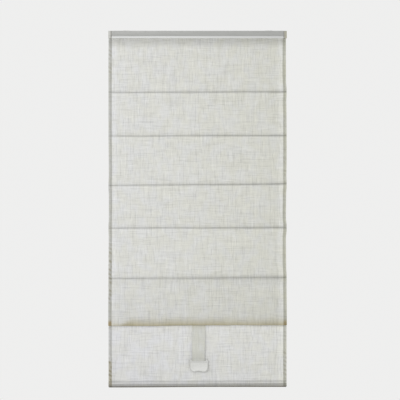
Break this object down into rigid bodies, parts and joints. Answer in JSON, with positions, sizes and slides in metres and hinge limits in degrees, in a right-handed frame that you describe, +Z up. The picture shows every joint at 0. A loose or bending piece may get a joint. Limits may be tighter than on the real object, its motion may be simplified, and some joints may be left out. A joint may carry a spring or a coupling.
{
  "type": "roman blind",
  "caption": "Cordless roman blind: a ribbed linen sheet under a slim aluminium headrail with a spring lift, a loose lower fold and a strap with a pull handle.",
  "frame": {"origin": "centre of the four bracket screw holes, on the brackets' top face", "axes": "+Z up out of the mounting face, +X to the right as seen from the room, -Y towards the room"},
  "size_m": [0.8, 0.045, 1.6],
  "materials": {
    "rail": "satin natural anodised extrusion",
    "cap_plastic": "moulded satin plastic",
    "bracket_steel": "white painted folded steel",
    "linen": "slubby plain-weave linen look, semi-sheer",
    "tape": "woven pocket tape",
    "strap_linen": "doubled linen band",
    "cord": "braided polyester",
    "white_plastic": "moulded satin plastic",
    "dark_plastic": "moulded acetal",
    "rod": "drawn glass-fibre rod",
    "spring_steel": "blued strip",
    "shaft_steel": "drawn steel",
    "bar": "mill finish",
    "grip": "moulded translucent white plastic"
  },
  "bodies": {
    "headrail": {"headrail": "rail", "end_cap_left": "cap_plastic", "end_cap_right": "cap_plastic", "bracket_left": "bracket_steel", "bracket_right": "bracket_steel", "head_spline": "white_plastic", "fabric_sheet": "linen", "spring_case": "white_plastic", "spring_case_lid": "white_plastic", "power_spring": "spring_steel", "spool_cradle_left": "white_plastic", "spool_cradle_right": "white_plastic", "lift_cord_left": "cord", "lift_cord_right": "cord"},
    "lift_shaft": {"lift_shaft": "shaft_steel", "spool_left": "white_plastic", "spool_right": "white_plastic", "output_drum": "dark_plastic"},
    "storage_drum": {"storage_drum": "dark_plastic"},
    "rib_1": {"rib_rod_1": "rod", "rod_tips_1": "white_plastic", "rod_pocket_1": "tape", "cord_eyelets_1": "white_plastic"},
    "rib_2": {"rib_rod_2": "rod", "rod_tips_2": "white_plastic", "rod_pocket_2": "tape", "cord_eyelets_2": "white_plastic"},
    "rib_3": {"rib_rod_3": "rod", "rod_tips_3": "white_plastic", "rod_pocket_3": "tape", "cord_eyelets_3": "white_plastic"},
    "rib_4": {"rib_rod_4": "rod", "rod_tips_4": "white_plastic", "rod_pocket_4": "tape", "cord_eyelets_4": "white_plastic"},
    "rib_5": {"rib_rod_5": "rod", "rod_tips_5": "white_plastic", "rod_pocket_5": "tape", "cord_eyelets_5": "white_plastic"},
    "lower_panel": {"rib_rod_6": "rod", "rod_tips_6": "white_plastic", "rod_pocket_6": "tape", "cord_anchors": "white_plastic", "bottom_bar": "bar", "bottom_bar_tips": "white_plastic", "pull_strap": "strap_linen"},
    "pull_handle": {"pull_handle": "grip"}
  },
  "joints": [
    {"name": "lift", "type": "slide", "parent": "headrail", "child": "lower_panel", "axis": [0, 0, 1], "range_m": [0, 1.1], "deforming": ["fabric_sheet", "lift_cord_left", "lift_cord_right", "power_spring"]},
    {"name": "rib_1_lift", "type": "slide", "parent": "headrail", "child": "rib_1", "axis": [0, 0, 1], "range_m": [0, 0.213]},
    {"name": "rib_2_lift", "type": "slide", "parent": "headrail", "child": "rib_2", "axis": [0, 0, 1], "range_m": [0, 0.381]},
    {"name": "rib_3_lift", "type": "slide", "parent": "headrail", "child": "rib_3", "axis": [0, 0, 1], "range_m": [0, 0.573]},
    {"name": "rib_4_lift", "type": "slide", "parent": "headrail", "child": "rib_4", "axis": [0, 0, 1], "range_m": [0, 0.741]},
    {"name": "rib_5_lift", "type": "slide", "parent": "headrail", "child": "rib_5", "axis": [0, 0, 1], "range_m": [0, 0.933]},
    {"name": "shaft_turn", "type": "hinge", "parent": "headrail", "child": "lift_shaft", "pos_m": [0, 0.0093, -0.015], "axis": [-1, 0, 0], "range_deg": [0, 8900]},
    {"name": "storage_turn", "type": "hinge", "parent": "headrail", "child": "storage_drum", "pos_m": [0, -0.0103, -0.0116], "axis": [1, 0, 0], "range_deg": [0, 14100]},
    {"name": "handle_swing", "type": "hinge", "parent": "lower_panel", "child": "pull_handle", "pos_m": [0.006, -0.0144, -1.482], "axis": [-1, 0, 0], "range_deg": [0, 75]}
  ],
  "couplings": [
    {"joint": "rib_1_lift", "follows": "lift", "ratio": 0.19276},
    {"joint": "rib_2_lift", "follows": "lift", "ratio": 0.3454},
    {"joint": "rib_3_lift", "follows": "lift", "ratio": 0.52006},
    {"joint": "rib_4_lift", "follows": "lift", "ratio": 0.6727},
    {"joint": "rib_5_lift", "follows": "lift", "ratio": 0.84736},
    {"joint": "shaft_turn", "follows": "lift", "rad_per_m": 140.85},
    {"joint": "storage_turn", "follows": "lift", "rad_per_m": 223}
  ]
}
